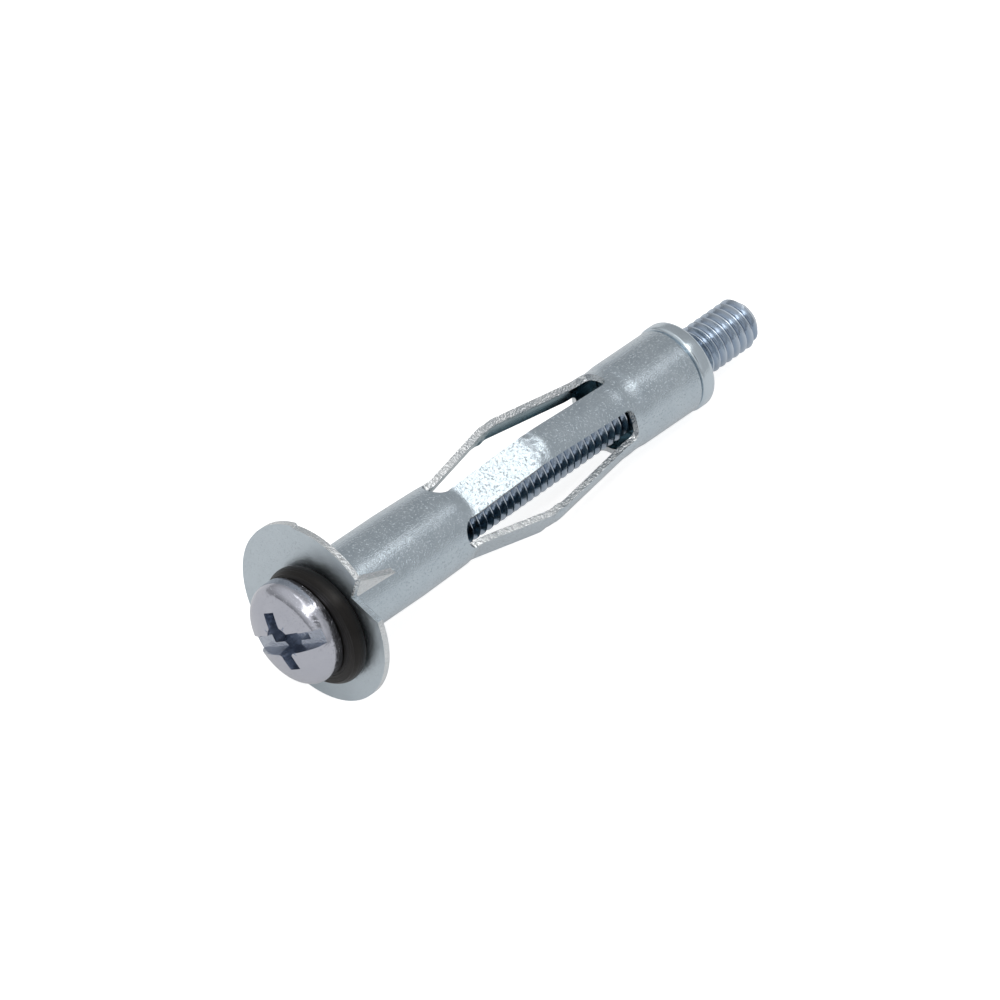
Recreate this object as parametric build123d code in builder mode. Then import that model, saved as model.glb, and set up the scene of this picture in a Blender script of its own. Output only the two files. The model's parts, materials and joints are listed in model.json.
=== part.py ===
from build123d import *
import math
import os

# Hollow wall anchor, 4 x 38, for a drilled hole of 8 mm. Millimetres.
# Each piece is drawn upright: +Z runs along the axis from the flange towards the tail,
# and Z = 0 is the front face of the flange. At the end all of them are laid on their side,
# where they rest on the rim of the flange and on the nut.

# Sheet metal sleeve
wall = 0.5
tube_d = 6.7
anchor_length = 38.0
flange_d = 14.0
flange_bend = 0.35
neck_d = 6.45
neck_start = 8.5

# Slots and legs
leg_count = 4
leg_w = 2.6
leg_turn = 22.3
slot_front = 12.5
slot_back = 29.9
slot_front_r = 1.05
slot_back_r = 0.55
root_z = 13.0
flat_z = 13.9
flat_reach = 2.95
knee_front_z = 19.9
knee_flat_reach = 4.15
knee_back_z = 21.3
knee_d = 8.72
leg_back_z = 28.9

# Spikes folded back out of the flange, and the lug where its blank was parted
spike_count = 2
spike_turn = 31.5
spike_root_r = 5.2
spike_sweep = 28.0
spike_bend = 71.0
lug_rise = 0.2
lug_turn = -62.0
lug_sweep = 40.0

# Pan head screw with a straight slot and a cross recess, M4 thread, 3.9 over its crests
screw_d = 3.9
screw_length = 45.8
tip_chamfer = 0.45
head_d = 8.0
head_height = 2.35
head_crown_r = 10.0
head_edge_r = 0.75
drive_turn = 50.0
slot_w = 1.15
slot_depth = 1.15
slot_shift = 0.22
cross_span = 4.6
cross_w = 0.95
cross_depth = 2.2
cross_taper = 8.0
core_d = 2.5

# Nut pressed into the tail
nut_d = 6.9
nut_lip = 1.3
nut_edge_r = 0.45
nut_barrel = 4.6
nut_chamfer = 0.3
thread_gap = 0.05
nut_gap = 0.01

# The screw leans in its nut by a share of the play in the thread
lean_share = 0.6
lean_turn = 145.0

# Washer, loose on the screw and clamped off centre under its head
washer_d = 9.3
washer_t = 1.2
washer_bulge = 0.3
washer_shift = 0.76
washer_turn = 66.0
washer_gap = 0.05
seat_gap = 0.01

tube_r = tube_d / 2
flange_r = flange_d / 2
neck_r = neck_d / 2
sleeve_length = anchor_length - nut_lip
screw_r = screw_d / 2
sky = -90.0
bore_r = screw_r + thread_gap
barrel_z = sleeve_length - nut_barrel
bore_mid_z = (barrel_z + anchor_length) / 2
lean = math.asin(lean_share * thread_gap / (anchor_length - bore_mid_z))
seat_z = -washer_t - seat_gap - (washer_d / 2 + washer_shift) * math.sin(lean)
crown_z = seat_z - head_height


def polar(radius, angle):
    """Point at a radius and an angle in degrees about the axis."""
    return (radius * math.cos(math.radians(angle)), radius * math.sin(math.radians(angle)))


def leg_section(z, reach, curved):
    """Cross-section of the leg on +X: pressed flat, or still round as the tube was."""
    half = leg_w / 2
    with BuildSketch(Plane.XY.offset(z)) as section:
        with BuildLine():
            if curved:
                inner = reach - wall
                outer_x = math.sqrt(reach**2 - half**2)
                inner_x = math.sqrt(inner**2 - half**2)
                ThreePointArc((outer_x, -half), (reach, 0), (outer_x, half))
                Line((outer_x, half), (inner_x, half))
                ThreePointArc((inner_x, half), (inner, 0), (inner_x, -half))
                Line((inner_x, -half), (outer_x, -half))
            else:
                Polyline((reach, -half), (reach, half), (reach - wall, half),
                         (reach - wall, -half), close=True)
        make_face()
    return section.sketch


def leg():
    """One kneed leg: a flat front half, a bend at the knee and a rounded back half."""
    with BuildPart() as strip:
        loft([leg_section(root_z, neck_r, True),
              leg_section(flat_z, flat_reach, False),
              leg_section(knee_front_z, knee_flat_reach, False),
              leg_section(knee_back_z, knee_d / 2, True),
              leg_section(leg_back_z, tube_r, True)], ruled=True)
    return strip.part


def slot():
    """The gap between two legs, with rounded ends, ready to be cut."""
    with BuildPart() as gap:
        with Locations((leg_w / 2, leg_w / 2, slot_front)):
            Box(tube_d, tube_d, slot_back - slot_front, align=(Align.MIN, Align.MIN, Align.MIN))
        front = gap.faces().sort_by(Axis.Z)[0].edges()
        fillet([front.sort_by(Axis.X)[0], front.sort_by(Axis.Y)[0]], slot_front_r)
        back = gap.faces().sort_by(Axis.Z)[-1].edges()
        fillet([back.sort_by(Axis.X)[0], back.sort_by(Axis.Y)[0]], slot_back_r)
    return gap.part


def flap_plane(bend):
    """Plane of a spike's flap about its fold line on +X, bent back by an angle in degrees."""
    turn = math.radians(bend)
    return Plane(origin=(0, 0, wall / 2), x_dir=(1, 0, 0),
                 z_dir=(0, -math.sin(turn), math.cos(turn)))


def spike():
    """Pointed blade folded back from the rim, with the round outside of its fold."""
    tip = polar(flange_r, spike_sweep)
    with BuildPart() as blade:
        with BuildSketch(flap_plane(spike_bend)):
            with BuildLine():
                Line((spike_root_r, 0), (flange_r, 0))
                ThreePointArc((flange_r, 0), polar(flange_r, spike_sweep / 2), tip)
                Line(tip, (spike_root_r, 0))
            make_face()
        extrude(amount=wall / 2, both=True)
        with BuildSketch(Plane.YZ.offset(spike_root_r)):
            with Locations((0, wall / 2)):
                Circle(wall / 2)
        extrude(amount=flange_r - spike_root_r)
    return blade.part


def spike_cut():
    """The corner of the flange that the spike was folded from."""
    beyond = flange_r + 1
    with BuildPart() as corner:
        with BuildSketch():
            with BuildLine():
                Polyline((spike_root_r, 0), (beyond, 0), polar(beyond, spike_sweep / 2),
                         polar(beyond, spike_sweep), polar(flange_r, spike_sweep), close=True)
            make_face()
        extrude(amount=wall)
    return corner.part


with BuildPart() as sleeve:
    bend_x = tube_r + flange_bend
    bend_z = wall + flange_bend
    mouth = wall * (math.sqrt(2) - 1)
    with BuildSketch(Plane.XZ):
        with BuildLine():
            Polyline((bend_x - mouth, 0), (flange_r, 0), (flange_r, wall), (bend_x, wall),
                     (tube_r, bend_z), (tube_r, neck_start), (neck_r, root_z),
                     (neck_r - wall, root_z), (tube_r - wall, neck_start),
                     (tube_r - wall, bend_z - mouth), close=True)
        make_face()
    revolve(axis=Axis.Z)
    with BuildSketch(Plane.XY.offset(leg_back_z)):
        Circle(tube_r)
        Circle(tube_r - wall, mode=Mode.SUBTRACT)
    extrude(amount=sleeve_length - leg_back_z)
    with PolarLocations(0, leg_count, start_angle=sky + leg_turn):
        add(slot(), mode=Mode.SUBTRACT)
        add(leg())
    with PolarLocations(0, spike_count, start_angle=sky + spike_turn):
        add(spike_cut(), mode=Mode.SUBTRACT)
        add(spike())
    with BuildSketch():
        root_r = flange_r - wall
        lug_start = sky + lug_turn
        lug_mid = lug_start + lug_sweep / 2
        lug_end = lug_start + lug_sweep
        with BuildLine():
            Line(polar(root_r, lug_start), polar(flange_r, lug_start))
            ThreePointArc(polar(flange_r, lug_start), polar(flange_r + lug_rise / 2, lug_mid),
                          polar(flange_r + lug_rise, lug_end))
            Line(polar(flange_r + lug_rise, lug_end), polar(root_r, lug_end))
            Line(polar(root_r, lug_end), polar(root_r, lug_start))
        make_face()
    extrude(amount=wall)

with BuildPart() as nut:
    barrel_r = tube_r - wall - nut_gap
    barrel_chamfer = min(nut_chamfer, (barrel_r - bore_r) / 3)
    with BuildSketch(Plane.XZ):
        with BuildLine():
            Polyline((bore_r, anchor_length), (nut_d / 2, anchor_length),
                     (nut_d / 2, sleeve_length), (barrel_r, sleeve_length),
                     (barrel_r, barrel_z), (bore_r, barrel_z), close=True)
        make_face()
        fillet(vertices().group_by(Axis.Y)[-1].sort_by(Axis.X)[-1], nut_edge_r)
        chamfer(vertices().group_by(Axis.Y)[-1].sort_by(Axis.X)[0], nut_chamfer)
        chamfer(vertices().group_by(Axis.Y)[0], barrel_chamfer)
    revolve(axis=Axis.Z)


def drive():
    """Cutter for the drive: a slot across the head, and a deeper cross with a round core."""
    with BuildPart() as cutter:
        with BuildSketch(Plane.XY.offset(crown_z)):
            with Locations((0, slot_shift)):
                Rectangle(head_d, slot_w)
        extrude(amount=slot_depth)
        with BuildSketch(Plane.XY.offset(crown_z)):
            Rectangle(cross_span, cross_w)
        extrude(amount=cross_depth, taper=cross_taper)
        with BuildSketch(Plane.XY.offset(crown_z)):
            Rectangle(cross_w, cross_span)
        extrude(amount=cross_depth, taper=cross_taper)
        with BuildSketch(Plane.XY.offset(crown_z)):
            Circle(core_d / 2)
        extrude(amount=cross_depth, taper=cross_taper)
    return cutter.part


with BuildPart() as screw:
    tip_z = seat_z + screw_length
    crown_turn = math.degrees(math.asin(head_d / 2 / head_crown_r))
    with BuildSketch(Plane.XZ):
        with BuildLine():
            Polyline((0, crown_z), (0, tip_z), (screw_r - tip_chamfer, tip_z),
                     (screw_r, tip_z - tip_chamfer), (screw_r, seat_z), (head_d / 2, seat_z))
            crown = CenterArc((0, crown_z + head_crown_r), head_crown_r, -90, crown_turn)
            Line((head_d / 2, seat_z), crown @ 1)
        make_face()
        fillet(vertices().group_by(Axis.X)[-1].sort_by(Axis.Y)[0], head_edge_r)
    revolve(axis=Axis.Z)
    with Locations(Location((0, 0, 0), (0, 0, sky + drive_turn))):
        add(drive(), mode=Mode.SUBTRACT)

with BuildPart() as washer:
    hole_r = screw_r + washer_shift + washer_gap
    face_r = washer_d / 2 - washer_bulge
    with BuildSketch(Plane.XZ):
        with BuildLine():
            Polyline((face_r, seat_z), (hole_r, seat_z), (hole_r, seat_z + washer_t),
                     (face_r, seat_z + washer_t))
            ThreePointArc((face_r, seat_z + washer_t), (washer_d / 2, seat_z + washer_t / 2),
                          (face_r, seat_z))
        make_face()
    revolve(axis=Axis.Z)
washer.part.move(Location(polar(washer_shift, sky + washer_turn)))

# The head droops to one side, as the screw turns about the middle of the nut's bore.
side = polar(math.sin(lean), sky + lean_turn)
screw_axis = Plane(origin=(0, 0, bore_mid_z), x_dir=(1, 0, 0),
                   z_dir=(-side[0], -side[1], math.cos(lean)))
for piece in (screw, washer):
    piece.part.move(screw_axis.location * Location((0, 0, -bore_mid_z)))

# At rest the flange's back edge and the nut's back edge carry the anchor.
pieces = [sleeve, nut, screw, washer]
tilt = math.degrees(math.atan2(flange_r - nut_d / 2, anchor_length - nut_edge_r - wall))
tipped = Location((0, 0, 0), (-90 - tilt, 0, 0))
box = Compound([piece.part.moved(tipped) for piece in pieces]).bounding_box()
lying = Location((-box.center().X, -box.center().Y, -box.min.Z)) * tipped
for piece in pieces:
    piece.part.move(lying)

sleeve.part.label = "sleeve"
nut.part.label = "nut"
screw.part.label = "screw"
washer.part.label = "washer"

os.makedirs("parts", exist_ok=True)
export_step(sleeve.part, "parts/sleeve.step")
export_step(nut.part, "parts/nut.step")
export_step(screw.part, "parts/screw.step")
export_step(washer.part, "parts/washer.step")
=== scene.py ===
# %% [markdown]
# # A metal hollow wall anchor
#
# The real object is about 48 mm long: a sleeve pressed from thin zinc-plated steel, a nut held
# in its tail, a slotted pan head screw with an M4 thread, and a black washer under the head.
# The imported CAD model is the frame: it says where each piece is and what moves. This lesson
# makes the surfaces that the eye reads, piece by piece, and lays them exactly on that frame.
#
# All sizes are written in millimetres and multiplied by MM, because Blender works in metres.

# %% Load the frame
import bmesh
import bpy
import json
import math
from mathutils import Matrix, Vector, noise


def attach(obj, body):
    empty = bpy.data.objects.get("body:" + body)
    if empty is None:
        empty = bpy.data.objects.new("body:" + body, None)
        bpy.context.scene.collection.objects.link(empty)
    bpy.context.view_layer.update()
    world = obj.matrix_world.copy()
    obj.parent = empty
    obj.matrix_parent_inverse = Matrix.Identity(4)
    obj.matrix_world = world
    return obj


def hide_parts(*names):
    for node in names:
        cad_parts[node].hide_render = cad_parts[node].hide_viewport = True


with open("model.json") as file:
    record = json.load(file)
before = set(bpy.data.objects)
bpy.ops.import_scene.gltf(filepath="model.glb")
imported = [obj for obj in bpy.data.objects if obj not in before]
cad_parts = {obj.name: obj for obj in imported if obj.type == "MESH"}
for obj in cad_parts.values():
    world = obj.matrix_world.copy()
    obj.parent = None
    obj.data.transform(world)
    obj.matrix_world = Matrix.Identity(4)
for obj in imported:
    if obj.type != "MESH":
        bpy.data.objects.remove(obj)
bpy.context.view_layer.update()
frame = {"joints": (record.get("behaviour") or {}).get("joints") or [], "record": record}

MM = 0.001

# %% [markdown]
# ## Two axes
#
# It is far easier to model a turned piece upright, round the Z axis, than lying down. So every
# piece here is drawn upright, with Z = 0 on the front face of the flange, and laid down at the
# end by one matrix. The sleeve and nut lie along one axis. The screw and washer lean by about
# half a degree in the play of the thread, so they have an axis of their own. Both axes pass
# through the middle of the nut's bore, whose place and direction the frame's joint gives.

# %% The two axes
BORE_MIDDLE_Z = 35.05 * MM
hinge = [joint for joint in frame["joints"] if joint["type"] == "hinge"][0]
bore_middle = Vector(hinge["pos_m"])
sleeve_axis = Vector(frame["record"]["mounts"][0]["axis"]).normalized()
screw_axis = -Vector(hinge["axis"]).normalized()


def laying_matrix(direction):
    """Lays a piece, modelled upright, along a direction through the middle of the nut's bore."""
    side = Vector((1, 0, 0))
    side = (side - side.dot(direction) * direction).normalized()
    turn = Matrix((side, direction.cross(side), direction)).transposed().to_4x4()
    return Matrix.Translation(bore_middle) @ turn @ Matrix.Translation((0, 0, -BORE_MIDDLE_Z))


sleeve_lay = laying_matrix(sleeve_axis)
screw_lay = laying_matrix(screw_axis)
flange_middle = sleeve_lay @ Vector((0, 0, 0))
print("flange middle in mm", [round(c / MM, 3) for c in flange_middle])
print("the screw leans by", round(math.degrees(sleeve_axis.angle(screw_axis)), 3), "degrees")

# %% [markdown]
# ## The camera
#
# A product photographer stood well back with a long lens, so lines hardly converge. The angle
# and distance below were fitted to the ellipses of the flange, washer and tail in the
# photograph. The camera is placed first, because everything after it is judged through it.

# %% The camera
AZIMUTH = math.radians(43.96)
ELEVATION = math.radians(48.3)
LENS, SENSOR = 384.2, 36
# The middle of the flange as the camera sees it: to its right, above its axis, and ahead of it.
FLANGE_IN_VIEW = (-13.111 * MM, 7.984 * MM, 749.7 * MM)

right = Vector((math.cos(AZIMUTH), math.sin(AZIMUTH), 0))
forward = Vector((-math.sin(AZIMUTH) * math.cos(ELEVATION),
                  math.cos(AZIMUTH) * math.cos(ELEVATION), -math.sin(ELEVATION)))
upward = right.cross(forward)

camera_data = bpy.data.cameras.new("camera")
camera_data.lens = LENS
camera_data.sensor_width = SENSOR
camera_data.clip_start = 0.05
camera_data.clip_end = 20
camera = bpy.data.objects.new("camera", camera_data)
bpy.context.scene.collection.objects.link(camera)
camera.rotation_euler = (math.pi / 2 - ELEVATION, 0, AZIMUTH)
camera.location = (flange_middle - FLANGE_IN_VIEW[0] * right + FLANGE_IN_VIEW[1] * upward
                   - FLANGE_IN_VIEW[2] * forward)
bpy.context.scene.camera = camera
bpy.context.scene.view_settings.view_transform = "Standard"
print("camera at mm", [round(c / MM, 1) for c in camera.location])

# %% [markdown]
# ## Small helpers
#
# Edit-mode operators act on whatever is selected, so one helper opens an object with all of it
# selected, and another picks vertices or faces by a test on their place. That is what a person
# does with the mouse, said in words.

# %% Helpers for selection and editing


def activate(obj):
    """Leaves edit mode and makes one object the only selected one."""
    if bpy.context.object is not None and bpy.context.object.mode != "OBJECT":
        bpy.ops.object.mode_set(mode="OBJECT")
    bpy.ops.object.select_all(action="DESELECT")
    obj.select_set(True)
    bpy.context.view_layer.objects.active = obj


def edit_all(obj):
    """Opens one object in edit mode, with all of it selected."""
    activate(obj)
    bpy.ops.object.mode_set(mode="EDIT")
    bpy.ops.mesh.select_all(action="SELECT")


def pick(obj, kind, test):
    """Enters edit mode with only the VERTs or FACEs selected that pass a test."""
    bpy.ops.object.mode_set(mode="EDIT")
    bpy.ops.mesh.select_mode(type=kind)
    bpy.ops.mesh.select_all(action="DESELECT")
    mesh = bmesh.from_edit_mesh(obj.data)
    parts = mesh.verts if kind == "VERT" else mesh.faces
    chosen = [part for part in parts if test(part)]
    for part in chosen:
        part.select_set(True)
    mesh.select_flush_mode()
    bmesh.update_edit_mesh(obj.data)
    return len(chosen)


def apply_modifier(obj, kind, **settings):
    """Adds a modifier with its settings and applies it."""
    activate(obj)
    modifier = obj.modifiers.new(kind.lower(), kind)
    for name, value in settings.items():
        setattr(modifier, name, value)
    bpy.ops.object.modifier_apply(modifier=modifier.name)


def cut_or_join(obj, tool, operation):
    """Applies a boolean with another closed piece, and removes that piece."""
    apply_modifier(obj, "BOOLEAN", object=tool, operation=operation, solver="EXACT")
    bpy.data.objects.remove(tool)


def polar(radius, degrees):
    """Point at a radius and an angle about the axis, at height zero."""
    turn = math.radians(degrees)
    return Vector((radius * math.cos(turn), radius * math.sin(turn), 0))


print("helpers ready")

# %% [markdown]
# A turned piece starts as a line of vertices, drawn by extruding one vertex from point to
# point, as by hand with the E key. A second helper fills such a line into a plate.

# %% Helpers that draw a line, a turned piece and a plate
POLE_TOLERANCE = 0.0005 * MM


def draw_line(name, points):
    """One vertex, extruded from point to point. Points are in millimetres."""
    bpy.ops.object.select_all(action="DESELECT")
    bpy.ops.mesh.primitive_plane_add(size=MM, location=(0, 0, 0))
    obj = bpy.context.object
    obj.name = name
    bpy.ops.object.mode_set(mode="EDIT")
    bpy.ops.mesh.select_mode(type="VERT")
    bpy.ops.mesh.select_all(action="SELECT")
    bpy.ops.mesh.merge(type="CENTER")
    bpy.ops.transform.translate(value=Vector(points[0]) * MM)
    for before, after in zip(points, points[1:]):
        step = (Vector(after) - Vector(before)) * MM
        bpy.ops.mesh.extrude_region_move(TRANSFORM_OT_translate={"value": step})
    bpy.ops.object.mode_set(mode="OBJECT")
    return obj


def arc(middle, radius, start, end, steps):
    """Points of an arc in the XZ plane, angles in degrees from +X towards +Z."""
    turns = [math.radians(start + (end - start) * k / steps) for k in range(steps + 1)]
    return [(middle[0] + radius * math.cos(t), 0, middle[1] + radius * math.sin(t))
            for t in turns]


def spin_piece(name, points, steps):
    """A closed piece turned from its half outline about the Z axis."""
    obj = draw_line(name, points)
    edit_all(obj)
    bpy.ops.mesh.spin(steps=steps, angle=2 * math.pi, center=(0, 0, 0), axis=(0, 0, 1))
    bpy.ops.mesh.select_all(action="SELECT")
    bpy.ops.mesh.remove_doubles(threshold=POLE_TOLERANCE)
    bpy.ops.mesh.normals_make_consistent(inside=False)
    bpy.ops.object.mode_set(mode="OBJECT")
    return obj


def plate(name, outline, thickness):
    """A flat outline in the XY plane, filled and extruded upwards. Millimetres."""
    obj = draw_line(name, outline)
    edit_all(obj)
    bpy.ops.mesh.edge_face_add()
    bpy.ops.mesh.extrude_region_move(TRANSFORM_OT_translate={"value": (0, 0, thickness * MM)})
    bpy.ops.mesh.select_all(action="SELECT")
    bpy.ops.mesh.normals_make_consistent(inside=False)
    bpy.ops.object.mode_set(mode="OBJECT")
    return obj


SLIVER, LARGEST_GAP_SIDES = 0.001 * MM, 4


def merge_slivers(obj):
    """Merges points closer than a micrometre, where a bevel left faces without area."""
    edit_all(obj)
    bpy.ops.mesh.remove_doubles(threshold=SLIVER)
    bpy.ops.mesh.dissolve_degenerate(threshold=SLIVER / 2)
    bpy.ops.mesh.select_all(action="SELECT")
    bpy.ops.mesh.fill_holes(sides=LARGEST_GAP_SIDES)
    bpy.ops.object.mode_set(mode="OBJECT")


def smooth(obj, degrees):
    """Smooth shading, except across edges sharper than an angle."""
    activate(obj)
    bpy.ops.object.shade_smooth_by_angle(angle=math.radians(degrees))


def lay_down(obj, matrix):
    """Lays a finished upright piece on the frame, with its place in its mesh."""
    activate(obj)
    obj.matrix_world = matrix
    bpy.ops.object.transform_apply(location=True, rotation=True, scale=True)


print("drawing helpers ready")

# %% [markdown]
# ## The sleeve: punched, rolled and pressed
#
# On the real part the sleeve starts as a flat strip of steel. Four slots are punched in it, it
# is rolled to a tube, its end is spread to a flange, and the legs are pressed to a knee. One
# could carve this from a solid tube, but a model made in the same order as the metal gets even
# faces along each leg, so reflections run as they do on the real sheet. A quarter of the strip,
# with one leg in its middle, is enough: the other three are copies.

# %% One quarter of the blank, with half a slot on each side
TUBE_R = 3.35
NECK_R = 3.225
WALL = 0.5
SLEEVE_END = 36.7
FLANGE_R = 7.0
BEND = 0.35
BEND_Z = WALL + BEND
FLANGE_FOLD = BEND_Z - BEND * math.pi / 2
BLANK_START = FLANGE_FOLD - (FLANGE_R - TUBE_R - BEND)
HALF_BLANK = TUBE_R * math.sin(math.radians(45))
HALF_LEG = 1.3
SLOT_FRONT, SLOT_BACK = 12.5, 29.9
SLOT_FRONT_R, SLOT_BACK_R = 1.05, 0.55

bpy.ops.object.select_all(action="DESELECT")
bpy.ops.mesh.primitive_plane_add(size=1, location=(0, 0, 0))
sleeve = bpy.context.object
sleeve.name = "sleeve_sheet"
bpy.ops.object.mode_set(mode="EDIT")
bpy.ops.transform.resize(value=(2 * HALF_BLANK * MM, (SLEEVE_END - BLANK_START) * MM, 1))
bpy.ops.transform.translate(value=(0, (SLEEVE_END + BLANK_START) / 2 * MM, 0))
print("blank in mm", round(2 * HALF_BLANK, 2), "by", round(SLEEVE_END - BLANK_START, 2))

# %% [markdown]
# A bisect takes a vertex near its plane as lying on it. How near is a setting of its own, and
# its default is a tenth of a millimetre, which is a fifth of this sheet's thickness. So it is
# always given here: fine for a clean cut, and a little wider where rows are cut into the
# blank, so that no row falls beside the end of a rounded corner.

# %% Punch the half slots
CUT_TOLERANCE = 0.001 * MM
ROW_TOLERANCE = 0.035 * MM
FLAT_ANGLE = math.radians(1)


def bisect(place, normal):
    """Cuts every face of the blank by a plane."""
    bpy.ops.mesh.select_all(action="SELECT")
    bpy.ops.mesh.bisect(plane_co=place, plane_no=normal, threshold=ROW_TOLERANCE)


for edge in (-HALF_LEG, HALF_LEG):
    bisect((edge * MM, 0, 0), (1, 0, 0))
for end in (SLOT_FRONT, SLOT_BACK):
    bisect((0, end * MM, 0), (0, 1, 0))


def in_slot(face):
    """A face of the blank that the punch takes out."""
    middle = face.calc_center_median() / MM
    return abs(middle.x) > HALF_LEG and SLOT_FRONT < middle.y < SLOT_BACK


punched = pick(sleeve, "FACE", in_slot)
bpy.ops.mesh.delete(type="FACE")
bpy.ops.mesh.select_all(action="SELECT")
bpy.ops.mesh.dissolve_limited(angle_limit=FLAT_ANGLE)
print("half slots punched", punched)

# %% [markdown]
# The punch has rounded corners, which a bevel of single vertices gives. Then the outline is cut
# into fine rows and columns, because flat metal can only be rolled and bent in Blender where it
# has vertices to move. Rows are close together where the metal bends.

# %% Round the corners of the slots
CORNER_STEPS = 8
NEAR = 0.01


def corner_at(height):
    """A test for the inner corners of the slots at one of their ends."""
    return lambda v: (abs(abs(v.co.x / MM) - HALF_LEG) < NEAR
                      and abs(v.co.y / MM - height) < NEAR)


for height, radius in ((SLOT_FRONT, SLOT_FRONT_R), (SLOT_BACK, SLOT_BACK_R)):
    corners = pick(sleeve, "VERT", corner_at(height))
    bpy.ops.mesh.bevel(offset=radius * MM, segments=CORNER_STEPS, affect="VERTICES")
    print("corners rounded", corners)

# %% Cut the blank into rows and columns
NECK_START, NECK_RUN = 8.5, 4.5
LEG_STRIPS, SIDE_STEP = 7, 3.7
# Stretches along the blank: where each starts, and how far apart its rows are.
STRETCHES = ((FLANGE_FOLD, 0.08), (BEND_Z, 0.8), (NECK_START, 0.5), (12.7, 0.14), (14.3, 0.5),
             (19.5, 0.14), (21.7, 0.5), (28.5, 0.2), (31.5, 0.8), (36.3, 0.08))


def spaced(start, end, step):
    """Even places from start to just short of end, about a step apart."""
    count = max(1, round((end - start) / step))
    return [start + (end - start) * k / count for k in range(count)]


rows = spaced(BLANK_START, FLANGE_FOLD, 0.6)[1:]
for (start, step), end in zip(STRETCHES, [s for s, _ in STRETCHES[1:]] + [SLEEVE_END]):
    rows += spaced(start, end, step)
leg_columns = [HALF_LEG * k / LEG_STRIPS for k in range(-LEG_STRIPS, LEG_STRIPS + 1)]
leg_edge_turn = math.degrees(math.asin(HALF_LEG / TUBE_R))
side_columns = [TUBE_R * math.sin(math.radians(turn))
                for turn in spaced(leg_edge_turn, 45, SIDE_STEP)[1:]]
for place in rows:
    bisect((0, place * MM, 0), (0, 1, 0))
for place in leg_columns + side_columns + [-c for c in side_columns]:
    bisect((place * MM, 0, 0), (1, 0, 0))
bpy.ops.mesh.select_all(action="SELECT")
bpy.ops.mesh.remove_doubles(threshold=4 * CUT_TOLERANCE)
bpy.ops.object.mode_set(mode="OBJECT")
print("rows", len(rows), "faces of a quarter blank", len(sleeve.data.polygons))

# %% [markdown]
# Rolling and pressing is one rule for every vertex: its place along the strip says how far the
# sheet stands from the axis there, and its place across says how far round it goes. A Simple
# Deform modifier could roll a plain tube, but not a leg that changes from round to flat and
# back, so the vertices are moved in code. Between the stations listed, the leg runs straight,
# and a short average over its length gives each bend the small radius of a press tool.

# %% Rules for the tube and the leg
# Height, distance of the leg's face from the axis, and the form of its section there.
STATIONS = ((13.0, NECK_R, "round"), (13.9, 2.95, "flat"), (19.9, 4.15, "flat"),
            (21.3, 4.36, "round"), (28.9, TUBE_R, "round"))
DIP_Z, DIP_REACH, DIP_DEPTH = 30.5, 1.0, 0.07
END_ROLL = 0.3
CREASE_Z, CREASE_REACH, CREASE_DEPTH = 20.75, 0.75, 0.09
CREASES_ACROSS, CREASES_ALONG = 2.1, 2.6


def section(reach, form, across):
    """How far out the leg's face is at a place across it."""
    return reach if form == "flat" else math.sqrt(reach ** 2 - across ** 2)


def tube_radius(z):
    """Outer radius of the tube, which necks a little before the slots and dips behind them."""
    if z >= STATIONS[-1][0]:
        from_dip = min(1.0, abs(z - DIP_Z) / DIP_REACH)
        rolled_in = max(0.0, z - SLEEVE_END + END_ROLL) ** 2 / (2 * END_ROLL)
        return TUBE_R - DIP_DEPTH * (1 + math.cos(math.pi * from_dip)) / 2 - rolled_in
    return TUBE_R + (NECK_R - TUBE_R) * min(1.0, max(0.0, (z - NECK_START) / NECK_RUN))


def leg_height(z, across):
    """The leg's face at a height, straight between two stations."""
    if z <= STATIONS[0][0] or z >= STATIONS[-1][0]:
        return math.sqrt(tube_radius(z) ** 2 - across ** 2)
    for (z0, r0, form0), (z1, r1, form1) in zip(STATIONS, STATIONS[1:]):
        if z <= z1:
            share = (z - z0) / (z1 - z0)
            return ((1 - share) * section(r0, form0, across)
                    + share * section(r1, form1, across))


def crease(z, across):
    """How far the metal is crumpled in at a place near the knee, where flat turns to round."""
    nearness = max(0.0, 1 - abs(z - CREASE_Z) / CREASE_REACH)
    place = Vector((CREASES_ACROSS * across, 0, CREASES_ALONG * z))
    return CREASE_DEPTH * nearness * (0.5 + noise.noise(place))


print("the leg's face at each station", [round(leg_height(s[0], 0), 2) for s in STATIONS])

# %% Roll the blank and press the leg
BEND_REACH = 0.22
LEG_SETTLES = 1.4


def rolled(across, along):
    """Place in millimetres of a point of the blank once it is rolled, with the leg on +X."""
    turn = math.asin(across / TUBE_R)
    if along < FLANGE_FOLD:
        radius, z = TUBE_R + BEND + FLANGE_FOLD - along, WALL
    elif along < BEND_Z:
        bent = (BEND_Z - along) / BEND
        radius = TUBE_R + BEND - BEND * math.cos(bent)
        z = BEND_Z - BEND * math.sin(bent)
    else:
        radius, z = tube_radius(along), along
    on_leg = abs(across) <= HALF_LEG + NEAR / 10 and SLOT_FRONT < along < SLOT_BACK + 1
    if not on_leg:
        return Vector((radius * math.cos(turn), radius * math.sin(turn), z))
    heights = [leg_height(along + BEND_REACH * k / 2, across) - crease(along, across)
               for k in range(-2, 3)]
    settle = min(1.0, max(0.0, (along - SLOT_FRONT) / LEG_SETTLES))
    width = 1 - (1 - settle) * (1 - radius / TUBE_R)
    return Vector((sum(heights) / len(heights), across * width, z))


for vertex in sleeve.data.vertices:
    vertex.co = rolled(vertex.co.x / MM, vertex.co.y / MM) * MM
knee = max(v.co.x for v in sleeve.data.vertices if v.co.z > SLOT_FRONT * MM)
print("the leg's knee stands out to mm", round(knee / MM, 2))

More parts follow.
